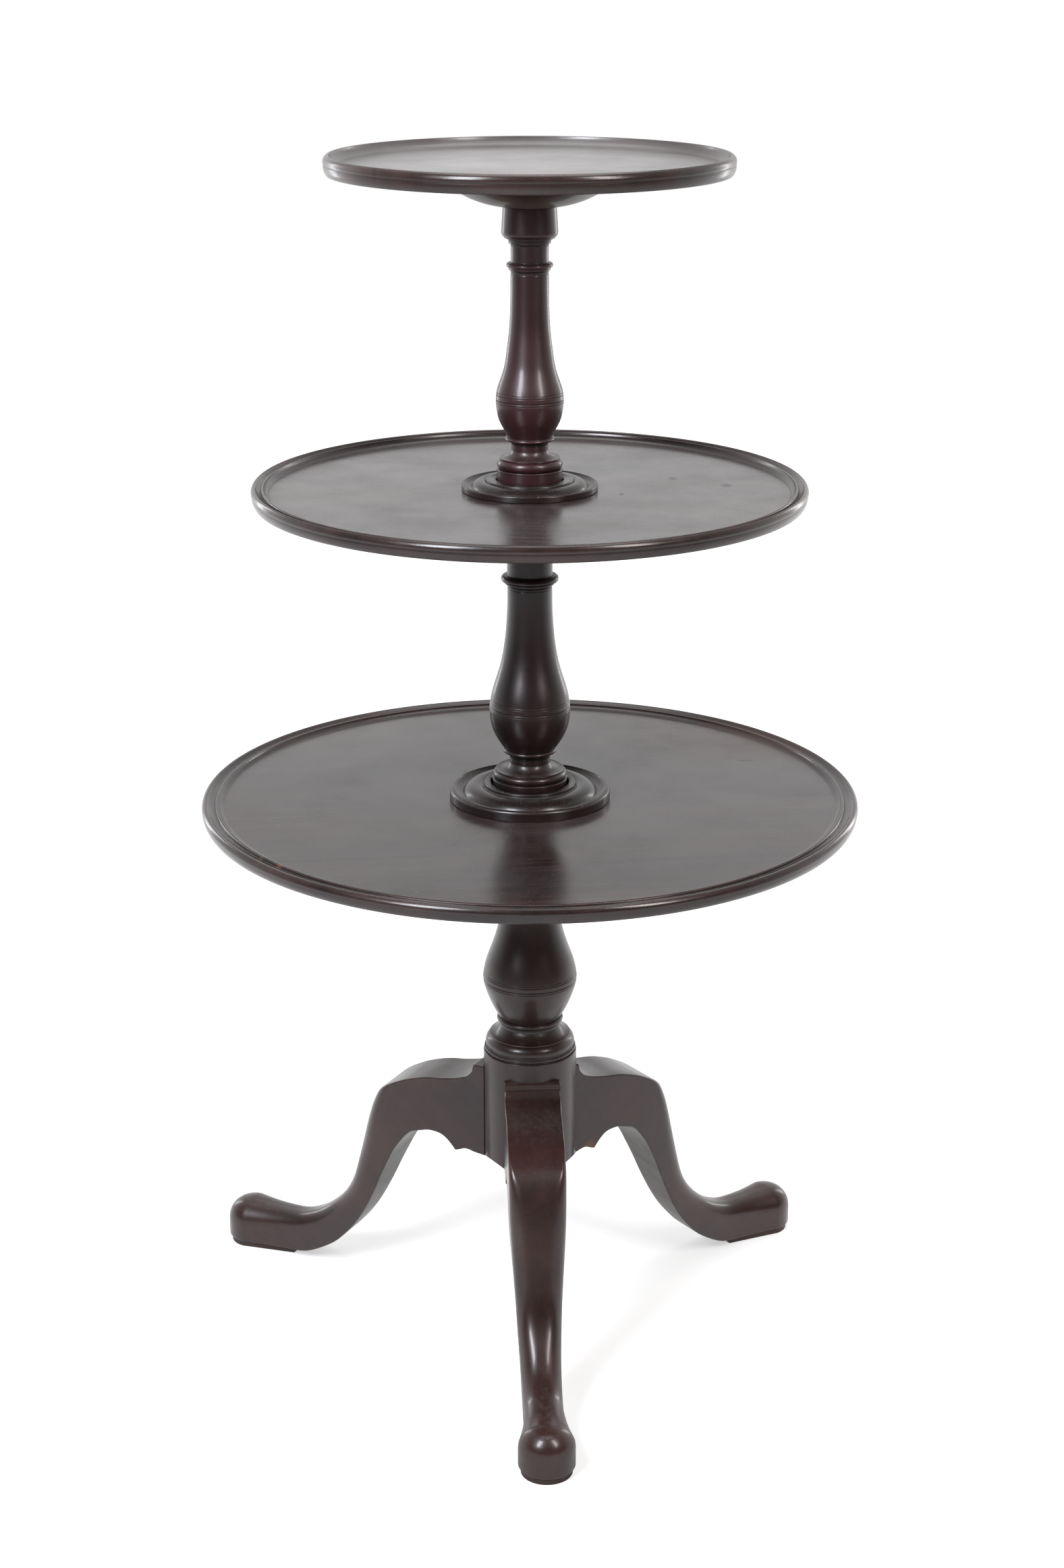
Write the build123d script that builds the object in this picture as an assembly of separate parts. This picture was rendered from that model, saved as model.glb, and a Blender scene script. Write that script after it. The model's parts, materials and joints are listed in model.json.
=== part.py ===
from build123d import *
import os
from math import hypot, sqrt

# Three-tier dumbwaiter table in mahogany: a turned pillar in three screwed-together lengths on a
# tripod of cabriole legs, with three round dished trays that turn on the pillar.
# Millimetres, +Z up. The origin is on the floor, on the pillar's axis. The front leg points to -Y.

# Trays: overall radius, and the height above the floor of the surface that things stand on
lower_tray_radius = 305.0
middle_tray_radius = 250.0
top_tray_radius = 179.0
lower_tier_height = 539.0
middle_tier_height = 831.5
top_tier_height = 1118.5

# Thickness of each tray's dished field, and the width of its rim and its rise above that field
lower_field_thickness = 9.5
middle_field_thickness = 8.0
top_field_thickness = 8.0
lower_rim_width = 22.0
middle_rim_width = 15.5
top_rim_width = 14.0
lower_rim_rise = 4.5
middle_rim_rise = 6.5
top_rim_rise = 8.5

# Rim mouldings from the outer edge inwards: shares of the rim's width and rise, then how far each
# step bows out from its chord. The two lower rims have a cove and a bead, the top one is plain
beaded_rim_shares = [
    (0.13, 1.0, 0.19), (0.25, 0.84, 0.10), (0.55, 0.34, -0.10), (0.57, 0.70, 0.0),
    (0.70, 0.84, 0.16), (1.0, 0.0, -0.12),
]
plain_rim_shares = [(0.22, 1.0, 0.20), (0.34, 0.97, 0.08), (1.0, 0.0, -0.16)]
rim_under_edge_share = 0.15
rim_widest_share = 0.56
rim_under_bow_share = 0.08

# Turned bosses under the trays
lower_boss_radius = 62.0
middle_boss_radius = 52.0
top_boss_radius = 68.0
lower_boss_thickness = 20.0
middle_boss_thickness = 20.0
top_boss_thickness = 27.5
boss_edge_rounding = 6.0
top_boss_seat_radius = 27.5
top_boss_edge_height = 12.0
top_boss_bow_share = 0.06
quarter_round_share = (sqrt(2) - 1) / 2

# Collars on the trays round the foot of the pillar length above
lower_collar_radius = 74.8
lower_collar_bore = 36.7
lower_collar_height = 15.5
middle_collar_radius = 61.4
middle_collar_bore = 31.3
middle_collar_height = 10.0

# Each collar's mouldings from its outer edge inwards: an edge roll, a cove, a broad torus and a
# flat ring round the bore, as shares of the collar's width and height and the bow of each
lower_collar_shares = [
    (0.0, 0.44, 0.0), (0.075, 0.66, 0.20), (0.32, 0.40, -0.11), (0.82, 0.80, 0.19),
    (0.84, 0.80, 0.0), (0.85, 1.0, 0.0), (1.0, 1.0, 0.0),
]
middle_collar_shares = [
    (0.0, 0.50, 0.0), (0.05, 0.62, 0.20), (0.29, 0.34, -0.11), (0.70, 0.84, 0.17),
    (0.71, 0.78, 0.0), (0.72, 1.0, 0.0), (1.0, 1.0, 0.0),
]

# Running fits: the trays turn on the pillar, whose lengths are fixed in one another
turning_clearance = 0.4
tier_running_gap = 1.0
socket_clearance = 0.15
socket_end_room = 2.0
lower_journal_radius = 19.0
middle_journal_radius = 16.0
lower_tenon_radius = 12.5
lower_tenon_length = 30.0
upper_tenon_radius = 10.0
upper_tenon_length = 26.0
top_pin_radius = 9.5
top_pin_length = 22.0

# Leg block and the cap above it, from the bottom up
block_bottom = 170.0
block_radius = 44.7
block_height = 113.6
cap_groove_radius = 42.2
cap_groove_height = 1.5
cap_fillet_radius = 43.9
cap_fillet_height = 2.2
cap_torus_radius = 38.2
cap_torus_height = 10.8
cap_arris_radius = 38.8
cap_arris_height = 1.0
cap_dish_height = 8.6
base_foot_neck_radius = 28.8
base_foot_neck_height = 1.4
base_foot_flare_radius = 30.2
base_foot_flare_height = 3.0
base_flange_radius = 31.8
base_flange_height = 4.4

# Base length of the pillar above its flange
base_belly_radius = 44.8
base_shaft_radius = 25.5
base_ring_seat_radius = 27.2
base_ring_radius = 31.0
base_neck_radius = 25.2
base_capital_bead_radius = 27.2
base_capital_foot_radius = 29.0
base_capital_edge_radius = 31.0
base_capital_radius = 32.8
base_capital_top_radius = 31.2
base_ring_height = 7.4
base_neck_height = 15.0
base_capital_round_height = 4.4
base_capital_height = 13.8

# Lower length of the pillar, between the lower and the middle tray
lower_plinth_radius = 34.4
lower_plinth_height = 17.4
lower_fillet_radius = 34.9
lower_fillet_height = 1.8
lower_torus_radius = 34.1
lower_torus_height = 7.4
lower_arris_radius = 31.7
lower_arris_height = 1.2
lower_foot_neck_radius = 18.8
lower_foot_cove_height = 6.2
lower_foot_neck_height = 3.6
lower_foot_flare_radius = 22.8
lower_foot_flare_height = 6.4
lower_flange_radius = 25.0
lower_flange_height = 3.6
lower_belly_radius = 37.3
lower_shaft_radius = 20.6
lower_ring_seat_radius = 22.4
lower_ring_radius = 26.4
lower_neck_radius = 20.9
lower_capital_bead_radius = 22.8
lower_capital_foot_radius = 24.6
lower_capital_edge_radius = 27.6
lower_capital_radius = 30.0
lower_capital_top_radius = 28.4
lower_ring_height = 6.4
lower_neck_height = 19.0
lower_capital_round_height = 5.0
lower_capital_height = 19.0

# Upper length of the pillar, between the middle and the top tray
upper_plinth_radius = 29.4
upper_plinth_height = 17.0
upper_fillet_radius = 29.9
upper_fillet_height = 1.6
upper_torus_radius = 29.6
upper_torus_height = 9.0
upper_arris_radius = 27.2
upper_arris_height = 1.2
upper_foot_neck_radius = 16.5
upper_foot_cove_height = 6.4
upper_foot_neck_height = 4.4
upper_foot_flare_radius = 19.8
upper_foot_flare_height = 4.4
upper_flange_radius = 22.2
upper_flange_height = 2.8
upper_belly_radius = 30.5
upper_shaft_radius = 16.9
upper_ring_seat_radius = 18.5
upper_ring_radius = 20.6
upper_neck_radius = 16.7
upper_capital_bead_radius = 18.6
upper_capital_foot_radius = 20.3
upper_capital_edge_radius = 22.6
upper_capital_radius = 25.0
upper_capital_top_radius = 23.7
upper_ring_height = 4.4
upper_neck_height = 14.0
upper_capital_round_height = 5.0
upper_capital_height = 22.0

# Small mouldings cut alike on all three lengths: the cove and fillet under each ring, the two
# coves and fillets under each capital, and the flat that its rounded edge springs from
ring_cove_height = 4.4
ring_fillet_height = 1.8
bead_cove_height = 2.6
bead_fillet_height = 1.4
capital_cove_height = 2.2
capital_fillet_height = 1.2
capital_edge_height = 0.6

# How far the arcs of the mouldings stand off their chords. A roll's edges also lie inside its
# radius by that share of its height
roll_share = 0.42
torus_share = 0.18
cove_share = 0.2
dish_share = 0.08
ovolo_share = 0.14

# Balusters: shares of the height from the flange up, and of the swell from the shaft to the belly
base_baluster_shares = [
    (0.0, 0.20), (0.04, 0.37), (0.10, 0.585), (0.20, 0.86), (0.285, 1.0), (0.36, 0.95),
    (0.44, 0.80), (0.52, 0.59), (0.60, 0.40), (0.70, 0.22), (0.83, 0.07), (1.0, 0.0),
]
lower_baluster_shares = [
    (0.0, 0.18), (0.06, 0.55), (0.13, 0.85), (0.245, 1.0), (0.32, 0.94), (0.41, 0.73),
    (0.51, 0.445), (0.61, 0.245), (0.715, 0.115), (0.84, 0.03), (1.0, 0.0),
]
upper_baluster_shares = [
    (0.0, 0.22), (0.05, 0.48), (0.10, 0.75), (0.16, 0.93), (0.235, 1.0), (0.285, 0.95),
    (0.33, 0.81), (0.42, 0.49), (0.52, 0.30), (0.65, 0.13), (0.80, 0.035), (1.0, 0.0),
]
base_bead_place_share = 0.305
lower_bead_place_share = 0.282
upper_bead_place_share = 0.251

# A pair of grooves scribed round each belly, one each side of its bead
belly_bead_height = 4.8
belly_groove_width = 1.3
belly_groove_depth = 0.8

# Arches cut in the block's foot between the legs
block_arch_width = 37.6
block_arch_rise = 4.4
block_arch_depth = 18.0

# Legs: compass direction of each leg in degrees and its reach from the axis. They differ a little
# because the legs were sawn and set out by hand
leg_directions = {"front": -87.0, "right": 35.0, "left": 153.0}
front_leg_reach = 318.0
right_leg_reach = 328.0
left_leg_reach = 350.5

# How much was trimmed off each leg where it meets the block, which brings its profile nearer in
front_leg_trim = 2.5
right_leg_trim = 9.0
left_leg_trim = 0.0
leg_lip_height = 265.0
leg_thickness = 50.0
leg_under_rounding = 1.5
shoulder_clearance = 0.1
foot_width = 52.0
foot_pad_thickness = 6.0
foot_pad_inset = 2.5
foot_pad_length = 79.0
foot_pad_inner_width = 24.0

# Sections down a leg: outer and under edge, each as shares of the run from the block to the toe and
# of the rise from the foot pad to the lip, then width and outer rounding as shares of the thickness
leg_section_shares = [
    (0.285, 0.866, 0.210, 0.677, 1.00, 0.03),
    (0.350, 0.823, 0.250, 0.658, 1.00, 0.05),
    (0.389, 0.765, 0.288, 0.607, 0.99, 0.09),
    (0.418, 0.681, 0.318, 0.553, 0.97, 0.15),
    (0.444, 0.576, 0.340, 0.502, 0.93, 0.21),
    (0.469, 0.471, 0.367, 0.436, 0.87, 0.25),
    (0.496, 0.377, 0.404, 0.340, 0.81, 0.26),
    (0.532, 0.304, 0.454, 0.232, 0.75, 0.26),
    (0.586, 0.238, 0.508, 0.148, 0.70, 0.26),
    (0.656, 0.180, 0.581, 0.068, 0.68, 0.26),
    (0.738, 0.150, 0.700, 0.004, 0.69, 0.27),
    (0.822, 0.148, 0.815, 0.000, 0.81, 0.32),
]
foot_crest_share = 0.155
foot_rounding_share = 0.42

# The hollow from the lip to the knee, and under the knee the arch and the scroll back to the block
knee_hollow_shares = [(0.016, 0.977), (0.036, 0.949), (0.088, 0.926), (0.188, 0.905)]
knee_lip_shares = (0.012, 1.0)
bracket_arch_shares = [(0.190, 0.685), (0.133, 0.683), (0.108, 0.665), (0.080, 0.630)]
bracket_scroll_shares = [(0.062, 0.637), (0.041, 0.645), (0.0, 0.634)]

# Sliding dovetails that hold the legs in the block
dovetail_depth = 17.5
dovetail_height = 82.0
dovetail_neck_width = 24.0
dovetail_root_width = 31.0
dovetail_clearance = 0.15

# Iron brace plate under the block, and the places of its screws out from the axis
brace_thickness = 2.5
brace_centre_radius = 20.0
brace_arm_width = 18.0
brace_reach = 42.0
brace_screw_places = [15.0, 35.0]
brace_screw_length = 22.0

# Countersunk wood screws, the same number in each boss
screw_head_radius = 4.5
screw_head_height = 2.3
screw_shank_radius = 2.2
screw_clearance = 0.15
screw_bite = 5.5
screws_in_boss = 4
boss_screw_place_share = 0.66
boss_screw_direction = -118.0
top_screw_sink = 6.0

# How far a cutter runs past what it cuts
overrun = 5.0

# Levels that follow from the sizes above
lower_underside = lower_tier_height - lower_field_thickness
middle_underside = middle_tier_height - middle_field_thickness
top_underside = top_tier_height - top_field_thickness
lower_seat = lower_underside - lower_boss_thickness
middle_seat = middle_underside - middle_boss_thickness
top_seat = top_underside - top_boss_thickness
lower_length_start = lower_tier_height + tier_running_gap
upper_length_start = middle_tier_height + tier_running_gap
dovetail_inner = block_radius - dovetail_depth
leg_reaches = {"front": front_leg_reach, "right": right_leg_reach, "left": left_leg_reach}
leg_trims = {"front": front_leg_trim, "right": right_leg_trim, "left": left_leg_trim}
on_the_floor = (Align.CENTER, Align.CENTER, Align.MIN)


class Outline:
    """A closed outline drawn as radius and height, to be turned about the upright axis."""

    def __init__(self, radius, height):
        self.start = (radius, height)
        self.here = self.start
        self.edges = []

    def to(self, radius, height):
        """Draws a straight edge, unless the outline is already there."""
        if (radius, height) != self.here:
            self.edges.append(Line(self.here, (radius, height)))
            self.here = (radius, height)

    def bow(self, radius, height, share):
        """Draws an arc that bows out to the right of its way by a share of its chord."""
        if share == 0:
            self.to(radius, height)
            return
        chord = hypot(radius - self.here[0], height - self.here[1])
        self.edges.append(SagittaArc(self.here, (radius, height), -share * chord))
        self.here = (radius, height)

    def curve(self, places):
        """Draws one smooth curve through the places."""
        self.edges.append(Spline(self.here, *places))
        self.here = places[-1]

    def turned(self):
        """Closes the outline and turns it into a solid."""
        self.to(*self.start)
        return revolve(Plane.XZ * make_face(self.edges), Axis.Z)


def upright(radius, height, start):
    """An upright cylinder that starts at a height above the floor."""
    return Location((0, 0, start)) * Cylinder(radius, height, align=on_the_floor)


# Pillar


def add_mouldings(outline, mouldings):
    """Draws a stack of mouldings upwards, each given as its kind, its radius and its height."""
    for kind, radius, rise in mouldings:
        top = outline.here[1] + rise
        if kind == "band":
            outline.to(radius, outline.here[1])
            outline.to(radius, top)
        elif kind == "roll":
            edge = radius - rise * roll_share
            outline.to(edge, outline.here[1])
            outline.bow(edge, top, roll_share)
        elif kind == "torus":
            outline.bow(radius, top, torus_share)
        elif kind == "cove":
            outline.bow(radius, top, -cove_share)
        elif kind == "dish":
            outline.bow(radius, top, -dish_share)
        elif kind == "ovolo":
            outline.bow(radius, top, ovolo_share)
        elif kind == "slope":
            outline.to(radius, top)


def stack_height(mouldings):
    """Height of a whole stack of mouldings."""
    return sum(rise for kind, radius, rise in mouldings)


def turned_length(start, end, foot, head, spigots, shaft_radius, belly_radius, shares, bead_share):
    """One length of the pillar: foot mouldings, a baluster that fills what is left, head
    mouldings up to the seat at its end, and the spigots that stand above the seat."""
    low = start + stack_height(foot)
    high = end - stack_height(head)
    swell = belly_radius - shaft_radius
    places = [(shaft_radius + swell * out, low + (high - low) * up) for up, out in shares]
    outline = Outline(0, start)
    add_mouldings(outline, foot)
    outline.to(*places[0])
    outline.curve(places[1:])
    add_mouldings(outline, head + spigots)
    outline.to(0, outline.here[1])
    solid = outline.turned()
    bead_middle = low + (high - low) * bead_share
    for side in (-1, 1):
        solid -= belly_groove(belly_radius, bead_middle + side * belly_bead_height / 2)
    return solid


def belly_groove(radius, height):
    """The ring that cuts one scribed groove, wider outside than in."""
    groove = Outline(radius - belly_groove_depth, height)
    groove.to(radius + belly_groove_depth, height - belly_groove_width)
    groove.to(radius + belly_groove_depth, height + belly_groove_width)
    return groove.turned()


def socket(radius, length, start):
    """The hole above a seat that takes a spigot, with room past the spigot's end."""
    return upright(radius, length + socket_end_room + overrun, start - overrun)


def make_base_column():
    """The base length: leg block with its cap, baluster, capital, journal and tenon."""
    foot = [
        ("band", block_radius, block_height),
        ("band", cap_groove_radius, cap_groove_height),
        ("band", cap_fillet_radius, cap_fillet_height),
        ("band", cap_groove_radius, cap_groove_height),
        ("torus", cap_torus_radius, cap_torus_height),
        ("band", cap_arris_radius, cap_arris_height),
        ("dish", base_foot_neck_radius, cap_dish_height),
        ("band", base_foot_neck_radius, base_foot_neck_height),
        ("cove", base_foot_flare_radius, base_foot_flare_height),
        ("roll", base_flange_radius, base_flange_height),
    ]
    head = [
        ("cove", base_ring_seat_radius, ring_cove_height),
        ("band", base_ring_seat_radius, ring_fillet_height),
        ("roll", base_ring_radius, base_ring_height),
        ("band", base_neck_radius, base_neck_height),
        ("cove", base_capital_bead_radius, bead_cove_height),
        ("band", base_capital_bead_radius, bead_fillet_height),
        ("cove", base_capital_foot_radius, capital_cove_height),
        ("band", base_capital_foot_radius, capital_fillet_height),
        ("band", base_capital_edge_radius, capital_edge_height),
        ("ovolo", base_capital_radius, base_capital_round_height),
        ("slope", base_capital_top_radius, base_capital_height),
    ]
    journal_length = lower_length_start - lower_seat
    spigots = [
        ("band", lower_journal_radius, journal_length),
        ("band", lower_tenon_radius, lower_tenon_length),
    ]
    solid = turned_length(
        block_bottom, lower_seat, foot, head, spigots, base_shaft_radius, base_belly_radius,
        base_baluster_shares, base_bead_place_share,
    )
    for direction in leg_directions.values():
        solid -= Rotation(0, 0, direction) * dovetail(dovetail_clearance, overrun)
    solid -= block_arches()
    return solid - brace_screw_set(screw_clearance)


def make_lower_column():
    """The length between the lower and the middle tray."""
    foot = [
        ("band", lower_plinth_radius, lower_plinth_height),
        ("band", lower_fillet_radius, lower_fillet_height),
        ("roll", lower_torus_radius, lower_torus_height),
        ("band", lower_arris_radius, lower_arris_height),
        ("cove", lower_foot_neck_radius, lower_foot_cove_height),
        ("band", lower_foot_neck_radius, lower_foot_neck_height),
        ("cove", lower_foot_flare_radius, lower_foot_flare_height),
        ("roll", lower_flange_radius, lower_flange_height),
    ]
    head = [
        ("cove", lower_ring_seat_radius, ring_cove_height),
        ("band", lower_ring_seat_radius, ring_fillet_height),
        ("roll", lower_ring_radius, lower_ring_height),
        ("band", lower_neck_radius, lower_neck_height),
        ("cove", lower_capital_bead_radius, bead_cove_height),
        ("band", lower_capital_bead_radius, bead_fillet_height),
        ("cove", lower_capital_foot_radius, capital_cove_height),
        ("band", lower_capital_foot_radius, capital_fillet_height),
        ("band", lower_capital_edge_radius, capital_edge_height),
        ("ovolo", lower_capital_radius, lower_capital_round_height),
        ("slope", lower_capital_top_radius, lower_capital_height),
    ]
    journal_length = upper_length_start - middle_seat
    spigots = [
        ("band", middle_journal_radius, journal_length),
        ("band", upper_tenon_radius, upper_tenon_length),
    ]
    solid = turned_length(
        lower_length_start, middle_seat, foot, head, spigots, lower_shaft_radius,
        lower_belly_radius, lower_baluster_shares, lower_bead_place_share,
    )
    return solid - socket(lower_tenon_radius + socket_clearance, lower_tenon_length, lower_length_start)


def make_upper_column():
    """The length between the middle and the top tray."""
    foot = [
        ("band", upper_plinth_radius, upper_plinth_height),
        ("band", upper_fillet_radius, upper_fillet_height),
        ("roll", upper_torus_radius, upper_torus_height),
        ("band", upper_arris_radius, upper_arris_height),
        ("cove", upper_foot_neck_radius, upper_foot_cove_height),
        ("band", upper_foot_neck_radius, upper_foot_neck_height),
        ("cove", upper_foot_flare_radius, upper_foot_flare_height),
        ("roll", upper_flange_radius, upper_flange_height),
    ]
    head = [
        ("cove", upper_ring_seat_radius, ring_cove_height),
        ("band", upper_ring_seat_radius, ring_fillet_height),
        ("roll", upper_ring_radius, upper_ring_height),
        ("band", upper_neck_radius, upper_neck_height),
        ("cove", upper_capital_bead_radius, bead_cove_height),
        ("band", upper_capital_bead_radius, bead_fillet_height),
        ("cove", upper_capital_foot_radius, capital_cove_height),
        ("band", upper_capital_foot_radius, capital_fillet_height),
        ("band", upper_capital_edge_radius, capital_edge_height),
        ("ovolo", upper_capital_radius, upper_capital_round_height),
        ("slope", upper_capital_top_radius, upper_capital_height),
    ]
    spigots = [("band", top_pin_radius, top_pin_length)]
    solid = turned_length(
        upper_length_start, top_seat, foot, head, spigots, upper_shaft_radius,
        upper_belly_radius, upper_baluster_shares, upper_bead_place_share,
    )
    return solid - socket(upper_tenon_radius + socket_clearance, upper_tenon_length, upper_length_start)


def block_arches():
    """The shallow arches in the block's foot, one midway between each two legs."""
    half = block_arch_width / 2
    arc_radius = (half**2 + block_arch_rise**2) / (2 * block_arch_rise)
    cutter = Rotation(0, 90, 0) * Cylinder(arc_radius, block_arch_depth + overrun, align=on_the_floor)
    height = block_bottom + block_arch_rise - arc_radius
    directions = sorted(leg_directions.values())
    arches = []
    for place, direction in enumerate(directions):
        following = directions[(place + 1) % len(directions)]
        turn = (following - direction) % 360
        middle = Rotation(0, 0, direction + turn / 2)
        arches.append(middle * Location((block_radius - block_arch_depth, 0, height)) * cutter)
    return arches


# Legs, with +X as their outward direction until they are turned to their places


def dovetail(clearance, extra):
    """The leg's sliding dovetail, or the slot for it, which is wider and runs past the block.
    Both stop at one height, where the leg butts against the slot's end."""
    root = dovetail_root_width / 2 + clearance
    neck = dovetail_neck_width / 2 + clearance
    inner = dovetail_inner - clearance
    outer = block_radius + shoulder_clearance + extra
    plan = Polyline((inner, -root), (outer, -neck), (outer, neck), (inner, root), close=True)
    height = dovetail_height + extra
    return Location((0, 0, block_bottom - extra)) * extrude(make_face(plan.edges()), height)


def leg_place(side, run_share, rise_share):
    """A place on a leg's side, from its shares of the run and of the rise."""
    start = block_radius - leg_trims[side]
    run = leg_reaches[side] - start
    rise = leg_lip_height - foot_pad_thickness
    return (start + run * run_share, foot_pad_thickness + rise * rise_share)


def leg_section(outer, under, width, rounding):
    """A cross-section face between an outer and an under place on a leg."""
    across = hypot(outer[0] - under[0], outer[1] - under[1])
    middle = ((outer[0] + under[0]) / 2, 0, (outer[1] + under[1]) / 2)
    along = (outer[1] - under[1], 0, under[0] - outer[0])
    half = width / 2
    tall = across / 2
    roundings = (leg_under_rounding, leg_under_rounding, rounding, rounding)
    corners = [(-half, -tall), (half, -tall), (half, tall), (-half, tall)]
    edge = FilletPolyline(*corners, radius=roundings, close=True)
    return Plane(origin=middle, x_dir=(0, 1, 0), z_dir=along) * make_face(edge.edges())


def leg_board(side):
    """The flat upper part of a leg: lip, hollow and knee above, arch and scroll below."""
    outer_run, outer_rise, under_run, under_rise = leg_section_shares[0][:4]
    knee = leg_place(side, outer_run, outer_rise)
    bracket = leg_place(side, under_run, under_rise)
    hollow = [leg_place(side, run, rise) for run, rise in knee_hollow_shares]
    arch = [leg_place(side, run, rise) for run, rise in bracket_arch_shares]
    scroll = [leg_place(side, run, rise) for run, rise in bracket_scroll_shares]
    lip = leg_place(side, *knee_lip_shares)
    inside = block_radius - leg_trims[side] - overrun
    edges = [
        Line((inside, leg_lip_height), lip),
        Line(lip, hollow[0]),
        Spline(*hollow, knee),
        Line(knee, bracket),
        Spline(bracket, *arch),
        Spline(arch[-1], *scroll),
        Line(scroll[-1], (inside, scroll[-1][1])),
        Line((inside, scroll[-1][1]), (inside, leg_lip_height)),
    ]
    return extrude(Plane.XZ * make_face(edges), leg_thickness / 2, both=True)


def make_leg(side):
    """One cabriole leg with its dovetail, ending in a rounded pad foot."""
    reach = leg_reaches[side]
    sections = []
    for outer_run, outer_rise, under_run, under_rise, width_share, rounding_share in leg_section_shares:
        outer = leg_place(side, outer_run, outer_rise)
        under = leg_place(side, under_run, under_rise)
        width = leg_thickness * width_share
        sections.append(leg_section(outer, under, width, leg_thickness * rounding_share))
    foot_middle = reach - foot_width / 2
    foot_top = (foot_middle, leg_place(side, 0, foot_crest_share)[1])
    foot_bottom = (foot_middle, foot_pad_thickness)
    foot = leg_section(foot_top, foot_bottom, foot_width, leg_thickness * foot_rounding_share)
    left_half = split(foot, Plane.XZ, keep=Keep.BOTTOM)
    toe = revolve(left_half, Axis((foot_middle, 0, 0), (0, 0, -1)), 180)
    leg = leg_board(side) + loft(sections + [foot]) + toe
    leg -= upright(block_radius + shoulder_clearance, leg_lip_height, block_bottom - overrun)
    below = Box(2 * reach, 2 * foot_width, foot_pad_thickness + overrun, align=on_the_floor)
    leg -= Location((0, 0, -overrun)) * below
    return leg + dovetail(0, 0)


def make_foot_pad(reach):
    """The thin pad under a foot, with a square inner end and a round outer one."""
    radius = foot_width / 2 - foot_pad_inset
    outer = reach - foot_pad_inset - radius
    inner = reach - foot_pad_inset - foot_pad_length
    half = foot_pad_inner_width / 2
    edges = [
        Line((inner, -half), (outer, -radius)),
        SagittaArc((outer, -radius), (outer, radius), -radius),
        Line((outer, radius), (inner, half)),
        Line((inner, half), (inner, -half)),
    ]
    return extrude(make_face(edges), foot_pad_thickness)


# Screws and the iron plate


def screw(length, clearance, run_in):
    """A countersunk screw that points up, or the hole for it when there is a clearance."""
    head = screw_head_radius + clearance
    shank = screw_shank_radius + clearance
    outline = Outline(0, -run_in)
    outline.to(head, -run_in)
    outline.to(head, 0)
    outline.to(shank, screw_head_height)
    outline.to(shank, length)
    outline.to(0, length)
    return outline.turned()


def boss_screw_set(boss_radius, seat, thickness, sink, clearance):
    """The screws up through a boss into its tray, or the holes for them."""
    run_in = overrun + sink if clearance else 0
    one = screw(thickness - sink + screw_bite, clearance, run_in)
    screws = []
    for count in range(screws_in_boss):
        turn = Rotation(0, 0, boss_screw_direction + 360 * count / screws_in_boss)
        place = Location((boss_radius * boss_screw_place_share, 0, seat + sink))
        screws.append(turn * place * one)
    return screws


def brace_screw_set(clearance):
    """The screws up through the brace plate into the legs' dovetails and the block, or the holes."""
    run_in = overrun if clearance else 0
    one = screw(brace_screw_length, clearance, run_in)
    screws = []
    for direction in leg_directions.values():
        for place in brace_screw_places:
            location = Location((place, 0, block_bottom - brace_thickness))
            screws.append(Rotation(0, 0, direction) * location * one)
    return screws


def make_brace_plate():
    """The three-armed iron plate that holds the legs' dovetails up in the block."""
    plate = upright(brace_centre_radius, brace_thickness, block_bottom - brace_thickness)
    arm_align = (Align.MIN, Align.CENTER, Align.MIN)
    arm = Box(brace_reach, brace_arm_width, brace_thickness, align=arm_align)
    for direction in leg_directions.values():
        plate += Rotation(0, 0, direction) * Location((0, 0, block_bottom - brace_thickness)) * arm
    return plate - brace_screw_set(screw_clearance)


# Trays


def make_tray(radius, underside, thickness, rim_width, rim_rise, shares, bore, screws):
    """A dished tray with its rim, bored for the pillar where it passes through."""
    field = underside + thickness
    outline = Outline(bore, underside)
    outline.to(radius - rim_width * rim_under_edge_share, underside)
    widest = underside + (thickness + rim_rise) * rim_widest_share
    outline.bow(radius, widest, rim_under_bow_share)
    for width_share, rise_share, bow_share in shares:
        outline.bow(radius - rim_width * width_share, field + rim_rise * rise_share, bow_share)
    outline.to(bore, field)
    return outline.turned() - screws


def make_boss(radius, underside, thickness, bore, screws):
    """A turned disc under a tray, with a rounded lower edge."""
    seat = underside - thickness
    outline = Outline(bore, seat)
    outline.to(radius - boss_edge_rounding, seat)
    outline.bow(radius, seat + boss_edge_rounding, quarter_round_share)
    outline.to(radius, underside)
    outline.to(bore, underside)
    return outline.turned() - screws


def make_top_boss(screws):
    """The top tray's boss: a swept underside that rises from the pillar, and a blind bore."""
    outline = Outline(0, top_seat)
    outline.to(top_boss_seat_radius, top_seat)
    outline.bow(top_boss_radius, top_underside - top_boss_edge_height, top_boss_bow_share)
    outline.to(top_boss_radius, top_underside)
    outline.to(0, top_underside)
    bore = socket(top_pin_radius + turning_clearance, top_pin_length, top_seat)
    return outline.turned() - screws - bore


def make_collar(radius, bore, field, height, shares):
    """A moulded ring on a tray round the foot of the pillar length above it."""
    outline = Outline(bore, field)
    outline.to(radius, field)
    for width_share, height_share, bow_share in shares:
        place = radius - (radius - bore) * width_share
        outline.bow(place, field + height * height_share, bow_share)
    return outline.turned()


# The parts by name


parts = {
    "base_column": make_base_column(),
    "lower_column": make_lower_column(),
    "upper_column": make_upper_column(),
    "leg_brace_plate": make_brace_plate(),
    "leg_brace_screws": Compound(brace_screw_set(0)),
}

for side, direction in leg_directions.items():
    turn = Rotation(0, 0, direction)
    leg = turn * make_leg(side)
    parts[side + "_leg"] = leg - brace_screw_set(screw_clearance)
    parts[side + "_foot_pad"] = turn * make_foot_pad(leg_reaches[side])

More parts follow.
